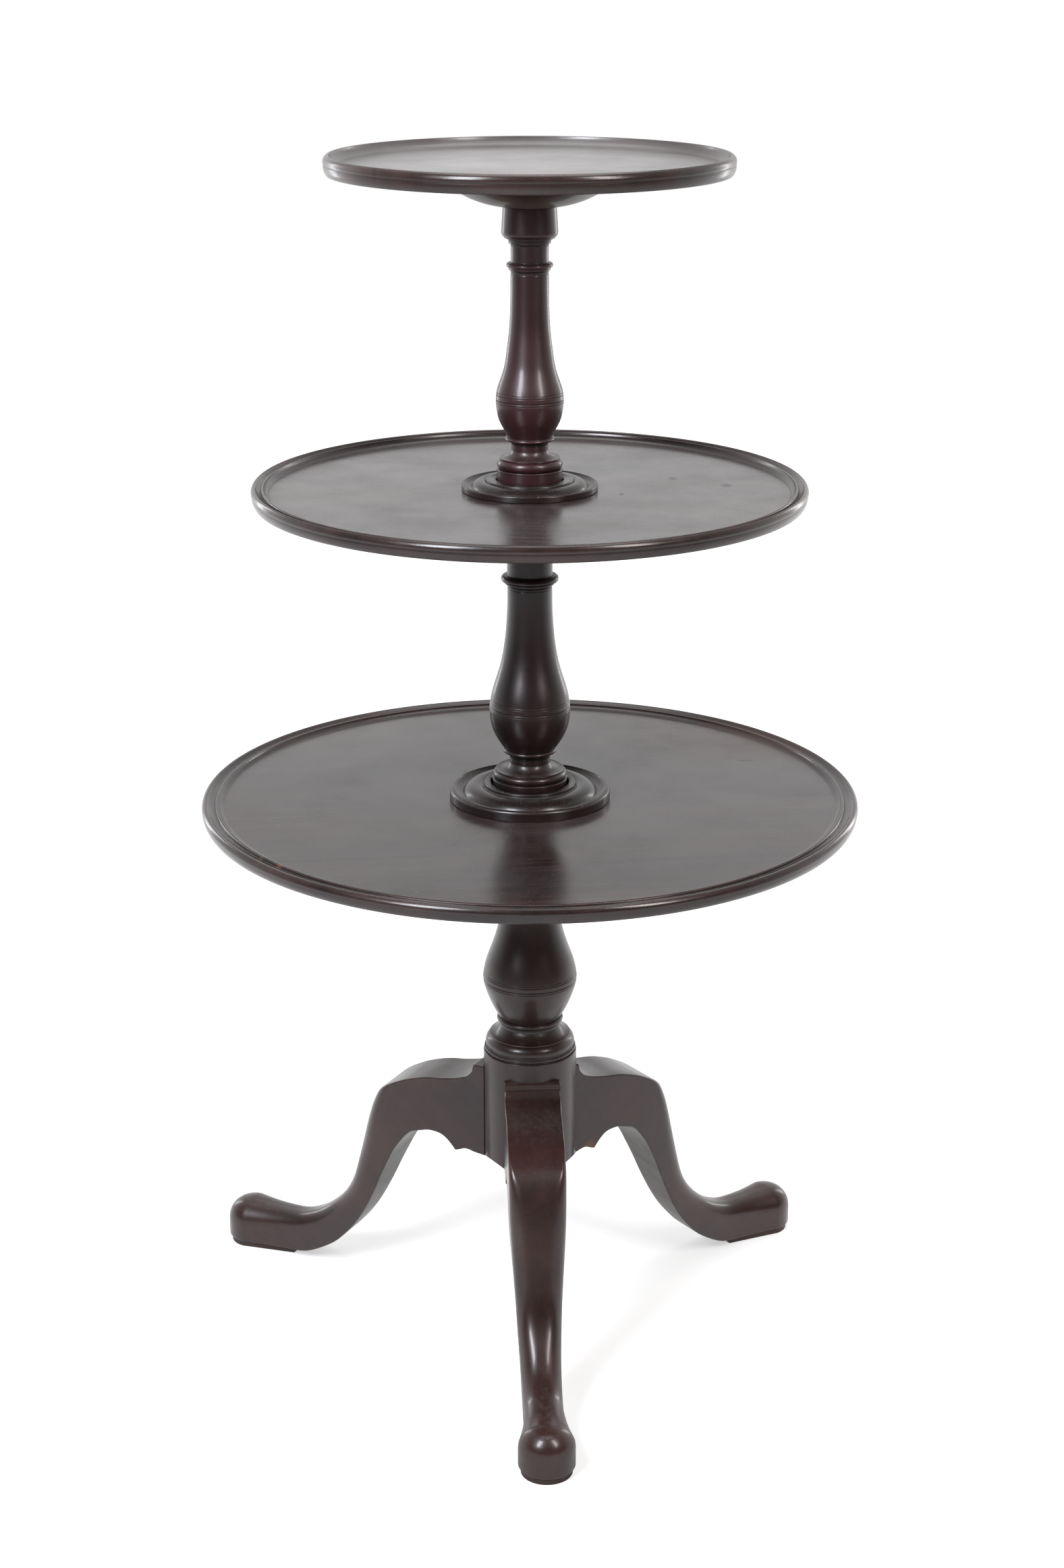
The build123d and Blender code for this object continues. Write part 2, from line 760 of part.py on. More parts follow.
lower_bore = lower_journal_radius + turning_clearance
middle_bore = middle_journal_radius + turning_clearance
lower_boss = (lower_boss_radius, lower_seat, lower_boss_thickness, 0)
middle_boss = (middle_boss_radius, middle_seat, middle_boss_thickness, 0)
top_boss = (top_boss_radius, top_seat, top_boss_thickness, top_screw_sink)
lower_holes = boss_screw_set(*lower_boss, screw_clearance)
middle_holes = boss_screw_set(*middle_boss, screw_clearance)
top_holes = boss_screw_set(*top_boss, screw_clearance)

parts["lower_tray"] = make_tray(
    lower_tray_radius, lower_underside, lower_field_thickness, lower_rim_width, lower_rim_rise,
    beaded_rim_shares, lower_bore, lower_holes,
)
parts["middle_tray"] = make_tray(
    middle_tray_radius, middle_underside, middle_field_thickness, middle_rim_width, middle_rim_rise,
    beaded_rim_shares, middle_bore, middle_holes,
)
parts["top_tray"] = make_tray(
    top_tray_radius, top_underside, top_field_thickness, top_rim_width, top_rim_rise,
    plain_rim_shares, 0, top_holes,
)
parts["lower_tray_boss"] = make_boss(
    lower_boss_radius, lower_underside, lower_boss_thickness, lower_bore, lower_holes
)
parts["middle_tray_boss"] = make_boss(
    middle_boss_radius, middle_underside, middle_boss_thickness, middle_bore, middle_holes
)
parts["top_tray_boss"] = make_top_boss(top_holes)
parts["lower_boss_screws"] = Compound(boss_screw_set(*lower_boss, 0))
parts["middle_boss_screws"] = Compound(boss_screw_set(*middle_boss, 0))
parts["top_boss_screws"] = Compound(boss_screw_set(*top_boss, 0))
parts["lower_collar"] = make_collar(
    lower_collar_radius, lower_collar_bore, lower_tier_height, lower_collar_height,
    lower_collar_shares,
)
parts["middle_collar"] = make_collar(
    middle_collar_radius, middle_collar_bore, middle_tier_height, middle_collar_height,
    middle_collar_shares,
)

os.makedirs("parts", exist_ok=True)
for name, shape in parts.items():
    export_step(shape, "parts/" + name + ".step")
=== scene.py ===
import json
from math import atan2, cos, hypot, pi, radians, sin, sqrt, tan
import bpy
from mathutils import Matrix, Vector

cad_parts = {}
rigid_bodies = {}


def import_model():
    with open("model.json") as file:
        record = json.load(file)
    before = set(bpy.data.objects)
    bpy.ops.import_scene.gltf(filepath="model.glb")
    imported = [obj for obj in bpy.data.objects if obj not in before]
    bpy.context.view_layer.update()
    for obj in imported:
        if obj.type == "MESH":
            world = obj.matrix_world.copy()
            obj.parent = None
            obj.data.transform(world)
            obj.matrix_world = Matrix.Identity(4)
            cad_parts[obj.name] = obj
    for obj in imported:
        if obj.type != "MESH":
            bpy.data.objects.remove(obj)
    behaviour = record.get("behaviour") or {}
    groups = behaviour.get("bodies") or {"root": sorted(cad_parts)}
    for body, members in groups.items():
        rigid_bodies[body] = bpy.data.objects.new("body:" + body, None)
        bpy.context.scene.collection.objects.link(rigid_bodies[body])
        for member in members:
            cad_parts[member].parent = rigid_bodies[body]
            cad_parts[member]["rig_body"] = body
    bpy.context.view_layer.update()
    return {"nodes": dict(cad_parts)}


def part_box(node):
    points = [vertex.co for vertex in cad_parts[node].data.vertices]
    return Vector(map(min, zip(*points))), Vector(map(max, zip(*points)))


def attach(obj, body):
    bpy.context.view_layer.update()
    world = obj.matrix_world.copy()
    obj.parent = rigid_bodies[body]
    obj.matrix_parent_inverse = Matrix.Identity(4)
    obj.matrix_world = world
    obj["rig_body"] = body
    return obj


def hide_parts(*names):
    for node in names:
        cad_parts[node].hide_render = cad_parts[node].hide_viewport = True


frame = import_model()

from types import SimpleNamespace

import bmesh
import bpy
import numpy as np
from mathutils import Matrix, Vector

# The photograph's camera: metres and degrees, with the lens in millimetres on a 36 mm wide sensor
camera_place = Vector((0.002, -2.367, 1.346))
camera_pitch = 18.56
camera_lens = 90.4
sensor_width = 36.0

# Turned work: how many facets go round, how far sharp edges are eased and what counts as sharp
tray_facets = 320
pillar_facets = 160
edge_easing = 0.0006
easing_steps = 4
sharp_turn = radians(24)

# Outlines of turned work: their longest step, the longest step that is part of a curve, the turn
# that still counts as straight, and how far from a sharp edge its flat begins
longest_step = 0.010
curve_step = 0.012
straight_turn = 0.0005
guard_distance = 0.0015

# The radius of a bend that counts as fully worn and fully lit by the painted highlight on an edge,
# or fully in painted shade in a hollow, how near each other two places are one, and how strongly
# the shading of a piece follows its large faces, where 50 is neutral
wear_and_painted_light_reach = 0.0024
same_place = 1e-6
merge_distance = 1e-7
large_face_weight = 80

# Fine lines scribed above and below the bead on each belly. An outline nearer the axis than
# bore_radius isn't its outer side
belly_bead_heights = {"base_column": 0.3597, "lower_column": 0.6305, "upper_column": 0.9155}
fine_line_spacing = 0.0092
fine_line_width = 0.0008
fine_line_depth = 0.0004
bore_radius = 0.0092

# The leg block: its radius, and the shallow arches in its foot between the legs
block_radius = 0.0447
block_arch_width = 0.0376
block_arch_rise = 0.0044
block_arch_inner = 0.0265
block_arch_blend = 0.012

# Floor: its width and colour, and how bright it shows near the table and far away. A reflection
# shows it less towards the front
floor_width = 14.0
floor_white = 0.72
floor_glow = 0.52
floor_near = 0.8
floor_far = 4.0
floor_front = -0.4
floor_back = 0.5

# Studio: how bright the surroundings are behind the table, in front of it and overhead, and where
# one gives way to the other along the line of sight and upwards
studio_back = 1.0
studio_front = 0.07
studio_above = 0.65
studio_turn = (-0.30, 0.38)
studio_rise = (0.29, 0.50)

# Soft lamps: name, place, width and height, watts and colour. Each faces the middle of the table
lamp_target = (0, 0, 0.7)
lamps = [
    ("left_softbox", (-1.25, -1.65, 2.15), (0.6, 1.5), 74, (0.93, 0.94, 1.0)),
    ("right_softbox", (1.35, -1.45, 2.15), (0.45, 1.5), 34, (1.0, 0.96, 0.94)),
    ("left_strip", (-2.0, 2.1, 1.1), (0.35, 1.6), 11, (0.95, 0.96, 1.0)),
    ("right_strip", (2.0, 2.1, 1.1), (0.35, 1.6), 11, (1.0, 0.97, 0.95)),
    ("top_softbox", (0, 0.2, 2.9), (1.8, 1.8), 26, (1.0, 1.0, 1.0)),
]

# Legs: the stock's thickness, the foot's width and the roundings along its edges
leg_thickness = 0.050
foot_width = 0.052
under_edge_rounding = 0.0018
# Outer leg edges rounded less than this get the rubbed mark, lighter in colour and partly a painted
# highlight
worn_highlit_rounding = 0.006
section_steps = 5
corner_steps = 6
side_steps = 4
toe_steps = 20
leg_grain_slant = 38.0
leg_directions = {"front_leg": -87.0, "right_leg": 35.0, "left_leg": 153.0}
leg_trims = {"front_leg": 0.0025, "right_leg": 0.009, "left_leg": 0.0}
joint_overlap = 0.0005
leg_merge = 0.00005

# Paired places down a leg on its outer and its under edge, each as shares of the run from the block
# to the toe and of the rise from the pad to the lip, then width and outer rounding as shares of the
# thickness
leg_shares = [
    (0.0000, 1.000, 0.0000, 0.634, 1.07, 0.025),
    (0.0080, 1.000, 0.0130, 0.639, 1.07, 0.025),
    (0.0120, 0.997, 0.0270, 0.643, 1.07, 0.025),
    (0.0142, 0.985, 0.0410, 0.645, 1.07, 0.025),
    (0.0180, 0.971, 0.0520, 0.642, 1.07, 0.025),
    (0.0360, 0.949, 0.0640, 0.636, 1.07, 0.025),
    (0.0580, 0.937, 0.0790, 0.630, 1.07, 0.025),
    (0.0880, 0.926, 0.0880, 0.641, 1.07, 0.025),
    (0.1320, 0.915, 0.1080, 0.665, 1.07, 0.025),
    (0.1880, 0.905, 0.1330, 0.683, 1.07, 0.025),
    (0.2380, 0.888, 0.1700, 0.688, 1.07, 0.025),
    (0.2850, 0.866, 0.2100, 0.677, 1.07, 0.030),
    (0.3500, 0.823, 0.2500, 0.658, 1.07, 0.100),
    (0.3890, 0.765, 0.2880, 0.607, 1.06, 0.240),
    (0.4180, 0.681, 0.3180, 0.553, 1.04, 0.310),
    (0.4440, 0.576, 0.3400, 0.502, 1.00, 0.330),
    (0.4690, 0.471, 0.3670, 0.436, 0.94, 0.320),
    (0.4960, 0.377, 0.4040, 0.340, 0.87, 0.320),
    (0.5320, 0.304, 0.4540, 0.232, 0.81, 0.310),
    (0.5860, 0.238, 0.5080, 0.148, 0.76, 0.300),
    (0.6560, 0.180, 0.5810, 0.068, 0.73, 0.280),
    (0.7380, 0.150, 0.7000, 0.004, 0.72, 0.270),
    (0.8220, 0.148, 0.8150, 0.000, 0.82, 0.320),
]
foot_crest_share = 0.155
foot_rounding_share = 0.42

# Relief of the wood's surface: slow waves, mottle, scratches and rasp marks
wave_height = 0.00006
mottle_height = 0.000008
scratch_depth = 0.000006
rasp_height = 0.0006

# Polish: the roughness of its clear coat, how strongly it bends light, and the reach from which a
# mark is broken up by broad clouds instead of fine mottle
coat_roughness = 0.13
wood_ior = 1.5
broad_mark = 0.05

# Colours of the wood, deep and warm, for each kind of piece
deep_brown = (0.0062, 0.0034, 0.0036)
warm_brown = (0.027, 0.0105, 0.0100)
deep_red = (0.012, 0.0042, 0.0050)
warm_red = (0.040, 0.0130, 0.0155)
base_deep = (0.0080, 0.0040, 0.0036)
base_warm = (0.031, 0.0128, 0.0102)
leg_deep = (0.0112, 0.0053, 0.0049)
leg_warm = (0.040, 0.0157, 0.0125)
tray_deep = (0.0085, 0.0062, 0.0068)
tray_warm = (0.034, 0.0180, 0.0160)
collar_warm = (0.017, 0.0095, 0.0085)
pad_deep = (0.016, 0.009, 0.007)
pad_warm = (0.045, 0.022, 0.015)

# Colours of what lies on the wood, and of the wood where it has no polish
settled_dust = (0.11, 0.11, 0.09)
wax_film = (0.17, 0.165, 0.17)
lint = (0.30, 0.29, 0.27)
bare_deep = (0.030, 0.019, 0.014)
bare_warm = (0.075, 0.046, 0.032)
rasped_deep = (0.020, 0.018, 0.014)
rasped_warm = (0.070, 0.062, 0.048)
bare_orange = (0.16, 0.070, 0.032)
dark_mark = (0.002, 0.0015, 0.0015)
red_stain = (0.070, 0.021, 0.016)
bright_red_stain = (0.12, 0.035, 0.020)
# A faded grey that is partly a painted reflection of the bright studio
faded_grey_and_painted_glare = (0.34, 0.33, 0.33)

# Colours of the iron
brace_tone = (0.035, 0.032, 0.030)
screw_tone = (0.055, 0.050, 0.045)
rust_tone = (0.10, 0.045, 0.022)

# Marks on single pieces: centre, reach along each axis, colour and strength
lower_marks = [
    ((0.193, 0.178, 0.539), (0.150, 0.100, 0.030), red_stain, 0.4),
    ((0.211, 0.109, 0.539), (0.016, 0.003, 0.030), dark_mark, 0.8),
    ((0.022, -0.188, 0.539), (0.011, 0.002, 0.030), dark_mark, 0.8),
    ((-0.236, -0.177, 0.543), (0.004, 0.006, 0.004), bare_orange, 0.8),
    ((-0.217, -0.196, 0.543), (0.007, 0.004, 0.004), bare_orange, 0.8),
    ((-0.204, -0.202, 0.531), (0.010, 0.010, 0.004), bare_orange, 0.6),
    ((-0.189, -0.217, 0.531), (0.010, 0.010, 0.004), bare_orange, 0.6),
]
middle_marks = [
    ((0.082, -0.021, 0.830), (0.003, 0.006, 0.030), dark_mark, 0.8),
    ((0.131, 0.045, 0.830), (0.005, 0.008, 0.030), dark_mark, 0.7),
    ((0.178, 0.016, 0.830), (0.007, 0.010, 0.030), dark_mark, 0.7),
]
top_marks = [
    # Pale faded patch on the top tray, partly a painted reflection of the bright studio at a low angle
    ((-0.010, 0.030, 1.121), (0.200, 0.190, 0.050), faded_grey_and_painted_glare, 0.70),
    ((-0.127, -0.123, 1.121), (0.003, 0.006, 0.010), dark_mark, 0.9),
    ((-0.117, -0.150, 1.121), (0.003, 0.006, 0.010), dark_mark, 0.9),
    ((-0.099, -0.195, 1.115), (0.004, 0.004, 0.004), dark_mark, 0.9),
]
pillar_marks = [
    ((-0.008, -0.036, 0.648), (0.003, 0.006, 0.002), dark_mark, 0.9),
    ((-0.025, -0.060, 1.092), (0.010, 0.030, 0.006), bright_red_stain, 0.5),
]
leg_marks = [
    ((-0.002, -0.155, 0.185), (0.002, 0.010, 0.003), dark_mark, 0.9),
    ((0.058, 0.008, 0.172), (0.012, 0.010, 0.010), bare_orange, 0.6),
]


# Meshes


def make_mesh(name, points, faces, marks):
    """A smooth mesh object with its marks, which are named numbers or vectors at its points."""
    mesh = bpy.data.meshes.new(name)
    mesh.from_pydata([tuple(point) for point in points], [], faces)
    for mark, values in marks.items():
        values = np.asarray(values, dtype=np.float32)
        kind = "FLOAT" if values.ndim == 1 else "FLOAT_VECTOR"
        field = "value" if values.ndim == 1 else "vector"
        layer = mesh.attributes.new(mark, kind, "POINT")
        layer.data.foreach_set(field, values.ravel())
    mesh.polygons.foreach_set("use_smooth", [True] * len(mesh.polygons))
    piece = bpy.data.objects.new(name, mesh)
    bpy.context.scene.collection.objects.link(piece)
    return piece


def put_in_place(piece, node, material):
    """Puts a piece in place of its CAD node, on the node's body, and hides the node."""
    piece.data.materials.append(material)
    even = piece.modifiers.new("even_normals", "WEIGHTED_NORMAL")
    even.weight = large_face_weight
    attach(piece, frame["nodes"][node]["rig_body"])
    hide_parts(node)


def cut_outline(node):
    """The outline of a turned CAD node where the half-plane through +X cuts it, as radius and
    height in metres, from its lowest inner place, out, up and back in."""
    work = bmesh.new()
    work.from_mesh(frame["nodes"][node].data)
    bmesh.ops.remove_doubles(work, verts=work.verts, dist=merge_distance)
    whole = work.verts[:] + work.edges[:] + work.faces[:]
    plane = {"plane_co": (0, 0, 0), "plane_no": (0, 1, 0)}
    cut = bmesh.ops.bisect_plane(work, geom=whole, dist=same_place, **plane)
    links = {}
    for edge in cut["geom_cut"]:
        if isinstance(edge, bmesh.types.BMEdge) and max(vert.co.x for vert in edge.verts) > same_place:
            ends = [(round(max(vert.co.x, 0), 6), round(vert.co.z, 6)) for vert in edge.verts]
            if ends[0] != ends[1]:
                links.setdefault(ends[0], set()).add(ends[1])
                links.setdefault(ends[1], set()).add(ends[0])
    work.free()
    start = min(links, key=lambda place: (place[1], place[0]))
    outline = [start]
    here = max(links[start], key=lambda place: place[0])
    while here is not None and here != start:
        outline.append(here)
        onward = [place for place in links[here] if place not in outline[-2:]]
        here = onward[0] if onward else None
    return outline


def turn_at(before, here, after):
    """How far an outline turns at a point, in radians, with convex turns above zero."""
    way_in = atan2(here[1] - before[1], here[0] - before[0])
    way_out = atan2(after[1] - here[1], after[0] - here[0])
    return (way_out - way_in + pi) % (2 * pi) - pi


def drop_straight(outline):
    """The outline without the points that lie on a straight line between their neighbours."""
    kept = [outline[0]]
    for here, after in zip(outline[1:-1], outline[2:]):
        if abs(turn_at(kept[-1], here, after)) > straight_turn:
            kept.append(here)
    return kept + [outline[-1]]


def smooth_between(outline):
    """The outline with points added on its curves, so that they stay smooth close up."""
    smooth = []
    last = len(outline) - 1
    for place in range(last):
        here, after = outline[place], outline[place + 1]
        smooth.append(here)
        if place == 0 or place == last - 1:
            continue
        before, beyond = outline[place - 1], outline[place + 2]
        lengths = [distance(before, here), distance(here, after), distance(after, beyond)]
        turns = [abs(turn_at(before, here, after)), abs(turn_at(here, after, beyond))]
        if max(turns) > sharp_turn or max(lengths) > curve_step or lengths[1] > 4 * min(lengths):
            continue
        for step in (0.25, 0.5, 0.75):
            smooth.append(curve_between(before, here, after, beyond, lengths, step))
    return smooth + [outline[-1]]


def curve_between(before, here, after, beyond, lengths, step):
    """A place on the curve from one point to the next, whose ends follow the points on each side."""
    place = []
    for axis in (0, 1):
        slope_here = slope(before[axis], here[axis], after[axis], lengths[0], lengths[1]) * lengths[1]
        slope_after = slope(here[axis], after[axis], beyond[axis], lengths[1], lengths[2]) * lengths[1]
        value = (2 * step**3 - 3 * step**2 + 1) * here[axis] + (step**3 - 2 * step**2 + step) * slope_here
        value += (3 * step**2 - 2 * step**3) * after[axis] + (step**3 - step**2) * slope_after
        place.append(value)
    return tuple(place)


def slope(before, here, after, length_in, length_out):
    """The slope of the parabola through three values at the middle one."""
    rise_in = (here - before) / length_in
    rise_out = (after - here) / length_out
    return (rise_in * length_out + rise_out * length_in) / (length_in + length_out)


def ease_edges(outline):
    """The outline with small rounds at its sharp turns."""
    eased = [outline[0]]
    for before, here, after in zip(outline, outline[1:], outline[2:]):
        turn = turn_at(before, here, after)
        length_in = distance(before, here)
        length_out = distance(here, after)
        reach = min(edge_easing * tan(min(abs(turn), pi / 2) / 2) * 2, length_in * 0.4, length_out * 0.4)
        if abs(turn) < sharp_turn:
            eased.append(here)
            continue
        start = between(here, before, reach / length_in)
        end = between(here, after, reach / length_out)
        if length_in > 4 * guard_distance:
            eased.append(between(here, before, guard_distance / length_in))
        for step in range(easing_steps + 1):
            share = step / easing_steps
            eased.append(between(between(start, here, share), between(here, end, share), share))
        if length_out > 4 * guard_distance:
            eased.append(between(here, after, guard_distance / length_out))
    return eased + [outline[-1]]


def distance(start, end):
    """How far one place on an outline is from another."""
    return hypot(end[0] - start[0], end[1] - start[1])


def between(start, end, share):
    """The place at a share of the way from one place to another."""
    return (start[0] + (end[0] - start[0]) * share, start[1] + (end[1] - start[1]) * share)


def split_long(outline):
    """The outline with points added where two neighbours lie far apart."""
    split = [outline[0]]
    for start, end in zip(outline, outline[1:]):
        count = int(distance(start, end) / longest_step) + 1
        split += [between(start, end, step / count) for step in range(1, count + 1)]
    return split


def measure_wear_and_painted_light(outline):
    """How much each point of an outline stands out, from 1 on an edge that hands rub and that gets a
    painted highlight, through 0 on a flat, to -1 in a corner that gets painted shade and holds dust."""
    wear_and_painted_light = [0.0]
    for before, here, after in zip(outline, outline[1:], outline[2:]):
        length = distance(before, here) + distance(here, after)
        bend = 2 * turn_at(before, here, after) / length if length > 0 else 0.0
        wear_and_painted_light.append(max(-1.0, min(1.0, bend * wear_and_painted_light_reach)))
    wear_and_painted_light.append(0.0)
    neighbours = zip([0.0] + wear_and_painted_light, wear_and_painted_light, wear_and_painted_light[1:] + [0.0])
    return [(low + 2 * here + high) / 4 for low, here, high in neighbours]


def scribe_line(outline, height):
    """The outline with a fine V cut into its outer side at a height."""
    low = height - fine_line_width / 2
    high = height + fine_line_width / 2
    for place, (here, after) in enumerate(zip(outline, outline[1:])):
        if here[1] <= height < after[1] and here[0] > bore_radius:
            radius = between(here, after, (height - here[1]) / (after[1] - here[1]))[0]
            below = [point for point in outline[:place + 1] if point[1] < low or point[0] < bore_radius]
            above = [point for point in outline[place + 1:] if point[1] > high or point[0] < bore_radius]
            cut = [(radius, low), (radius - fine_line_depth, height), (radius, high)]
            return below + cut + above
    return outline


def turn_outline(name, outline, facets, grain_way):
    """Turns an outline into a mesh. grain_way turns a point into where it lies in the wood: along
    the grain, across it and through it."""
    fine = split_long(ease_edges(smooth_between(drop_straight(outline))))
    points, wear_and_painted_light, rings = [], [], []
    for (radius, height), worn_and_painted_light in zip(fine, measure_wear_and_painted_light(fine)):
        count = facets if radius > same_place else 1
        rings.append([len(points) + step for step in range(count)])
        for step in range(count):
            angle = 2 * pi * step / facets
            points.append(Vector((radius * cos(angle), radius * sin(angle), height)))
            wear_and_painted_light.append(worn_and_painted_light)
    pairs = list(zip(rings, rings[1:]))
    if len(rings[0]) > 1:
        pairs.append((rings[-1], rings[0]))
    faces = []
    for low, high in pairs:
        for step in range(facets):
            onward = (step + 1) % facets
            if len(low) == 1 and len(high) > 1:
                faces.append((low[0], high[onward], high[step]))
            elif len(high) == 1 and len(low) > 1:
                faces.append((low[step], low[onward], high[0]))
            elif len(low) > 1:
                faces.append((low[step], low[onward], high[onward], high[step]))
    return make_mesh(name, points, faces, {"wear_and_painted_light": wear_and_painted_light, "grain": [grain_way(point) for point in points]})


# Wood


def upright_grain(seed):
    """Grain that runs up a turned piece whose blank was cut from its own place in the plank."""
    return lambda point: (point.z + seed, point.x + seed * 3, point.y + seed * 5)


def level_grain(direction, seed):
    """Grain that runs level in a compass direction, through a piece cut from a flat board."""
    along = Vector((cos(radians(direction)), sin(radians(direction)), 0))
    across = Vector((-along.y, along.x, 0))
    return lambda point: (point.dot(along) + seed, point.dot(across) + seed * 3, point.z + seed * 5)


def add_node(tree, kind, inputs=(), **settings):
    """Adds a shader node. Each input is a socket's number or name with a value or a linked socket."""
    made = tree.nodes.new("ShaderNode" + kind)
    for name, value in settings.items():
        setattr(made, name, value)
    for socket, value in dict(inputs).items():
        if isinstance(value, bpy.types.NodeSocket):
            tree.links.new(value, made.inputs[socket])
        else:
            made.inputs[socket].default_value = value
    return made


def calculate(tree, operation, first, second=0.0, clamp=False):
    """The result of a sum on one or two values."""
    return add_node(tree, "Math", {0: first, 1: second}, operation=operation, use_clamp=clamp).outputs[0]


def product(tree, first, *others):
    """The product of two or more values."""
    for other in others:
        first = calculate(tree, "MULTIPLY", first, other)
    return first


def spread(tree, value, low, high, to_low=0.0, to_high=1.0):
    """A value spread from one range to another, and kept inside it."""
    inputs = {0: value, 1: low, 2: high, 3: to_low, 4: to_high}
    return add_node(tree, "MapRange", inputs, clamp=True).outputs[0]


def blend_colours(tree, share, first, second, kind="MIX"):
    """Two colours mixed by a share."""
    mix = add_node(tree, "Mix", {0: share, 6: first, 7: second}, data_type="RGBA", blend_type=kind)
    return mix.outputs[2]


def stretched(tree, vector, scale):
    """A vector with each of its lengths multiplied."""
    return add_node(tree, "VectorMath", {0: vector, 1: scale}, operation="MULTIPLY").outputs[0]


def noise(tree, vector, scale, detail=3.0, roughness=0.5, distortion=0.0):
    """Noise between 0 and 1."""
    inputs = {"Vector": vector, "Scale": scale, "Detail": detail}
    inputs.update({"Roughness": roughness, "Distortion": distortion})
    return add_node(tree, "TexNoise", inputs).outputs["Fac"]


def opaque(colour, strength=1.0):
    """A colour times a strength, with the fourth number that a colour socket takes."""
    return tuple(channel * strength for channel in colour) + (1,)


def mahogany(name, deep, warm, polish=0.34, coat=0.5, film=0.2, dust=0.2, spots=(), own_grain=True):
    """Old wax-polished mahogany: dark streaked wood under a worn polish, with rubbed edges lightened
    partly as a painted highlight, painted shade and dust in its corners, a film and fine scratches
    where it lies flat, and bare wood underneath. Each spot is a mark of its own: its centre, its reach
    along each axis, its colour and its strength. A piece without a grain of its own takes its place
    in the object instead. polish is the roughness of the wax, coat the share of clear coat, film the
    haze on level faces and dust what settles on them."""
    material = bpy.data.materials.new(name)
    material.use_nodes = True
    tree = material.node_tree
    shader = tree.nodes["Principled BSDF"]
    wood = wood_surface(tree, own_grain, film)
    scratches = scratch_lines(tree, wood.grain)
    colour = figured_colour(tree, wood, deep, warm)
    colour = worn_and_shaded_colour(tree, wood, colour, deep, warm, dust)
    colour = unpolished_colour(tree, wood, colour)
    colour, spotted = spotted_colour(tree, wood, colour, spots)
    tree.links.new(colour, shader.inputs["Base Color"])
    tree.links.new(wood_roughness(tree, wood, polish, scratches, spotted), shader.inputs["Roughness"])
    tree.links.new(wood_relief(tree, wood, scratches), shader.inputs["Normal"])
    shader.inputs["IOR"].default_value = wood_ior
    shader.inputs["Coat Weight"].default_value = coat
    shader.inputs["Coat Roughness"].default_value = coat_roughness
    return material


def wood_surface(tree, own_grain, film):
    """What the wood's patterns start from: where a point lies in the grain and in the object, how
    level, rubbed with a painted highlight, in painted shade and dusty, raw or hazy it is there, and
    the streaks, clouds and mottle of the wood."""
    place = add_node(tree, "TexCoord").outputs["Object"]
    grain = read_mark(tree, "grain", "Vector") if own_grain else place
    wear_and_painted_light = read_mark(tree, "wear_and_painted_light", "Fac")
    normal = add_node(tree, "NewGeometry").outputs["Normal"]
    facing_up = add_node(tree, "SeparateXYZ", {0: normal}).outputs[2]
    streaks = noise(tree, stretched(tree, grain, (6.0, 260.0, 260.0)), 1.0, 3.0, 0.6, 0.2)
    bloom = spread(tree, noise(tree, grain, 4.5, 5.0, 0.62, 0.8), 0.38, 0.70)
    bloom = calculate(tree, "ADD", bloom, spread(tree, streaks, 0.45, 0.75, 0.0, 0.7))
    return SimpleNamespace(
        place=place,
        grain=grain,
        raw=read_mark(tree, "raw", "Fac"),
        ledge=spread(tree, facing_up, 0.2, 0.8),
        underneath=spread(tree, facing_up, -0.80, -0.97),
        # Edges that stand out count as rubbed and get a partly painted highlight; hollows get painted
        # shade and dust
        rubbed_and_highlit=calculate(tree, "MAXIMUM", wear_and_painted_light, 0.0),
        hollow_shade_and_dust=calculate(tree, "MAXIMUM", product(tree, wear_and_painted_light, -1.0), 0.0),
        haze=product(tree, bloom, spread(tree, facing_up, 0.90, 0.995), film),
        streaks=streaks,
        clouds=noise(tree, grain, 9.0, 3.0, 0.55),
        mottle=noise(tree, grain, 60.0, 4.0, 0.65),
    )


def read_mark(tree, mark, output):
    """A mark that a mesh holds at its points."""
    return add_node(tree, "Attribute", attribute_name=mark).outputs[output]


def figured_colour(tree, wood, deep, warm):
    """The colour of the polished wood, with its figure, its open pores and its patina."""
    ribbons = noise(tree, stretched(tree, wood.grain, (1.6, 22.0, 22.0)), 1.0, 4.0, 0.55, 0.6)
    pores = noise(tree, stretched(tree, wood.grain, (90.0, 1500.0, 1500.0)), 1.0, 1.0, 0.5)
    figure = calculate(tree, "ADD", ribbons, product(tree, wood.streaks, 0.35))
    figure = calculate(tree, "ADD", figure, product(tree, wood.clouds, 0.5))
    colour = blend_colours(tree, spread(tree, figure, 0.65, 1.20), opaque(deep), opaque(warm))
    open_pores = product(tree, spread(tree, pores, 0.34, 0.22), 0.5)
    colour = blend_colours(tree, open_pores, colour, opaque(deep, 0.35))
    patina = spread(tree, wood.mottle, 0.35, 0.85, 0.0, 0.22)
    return blend_colours(tree, patina, colour, opaque(warm, 1.8))


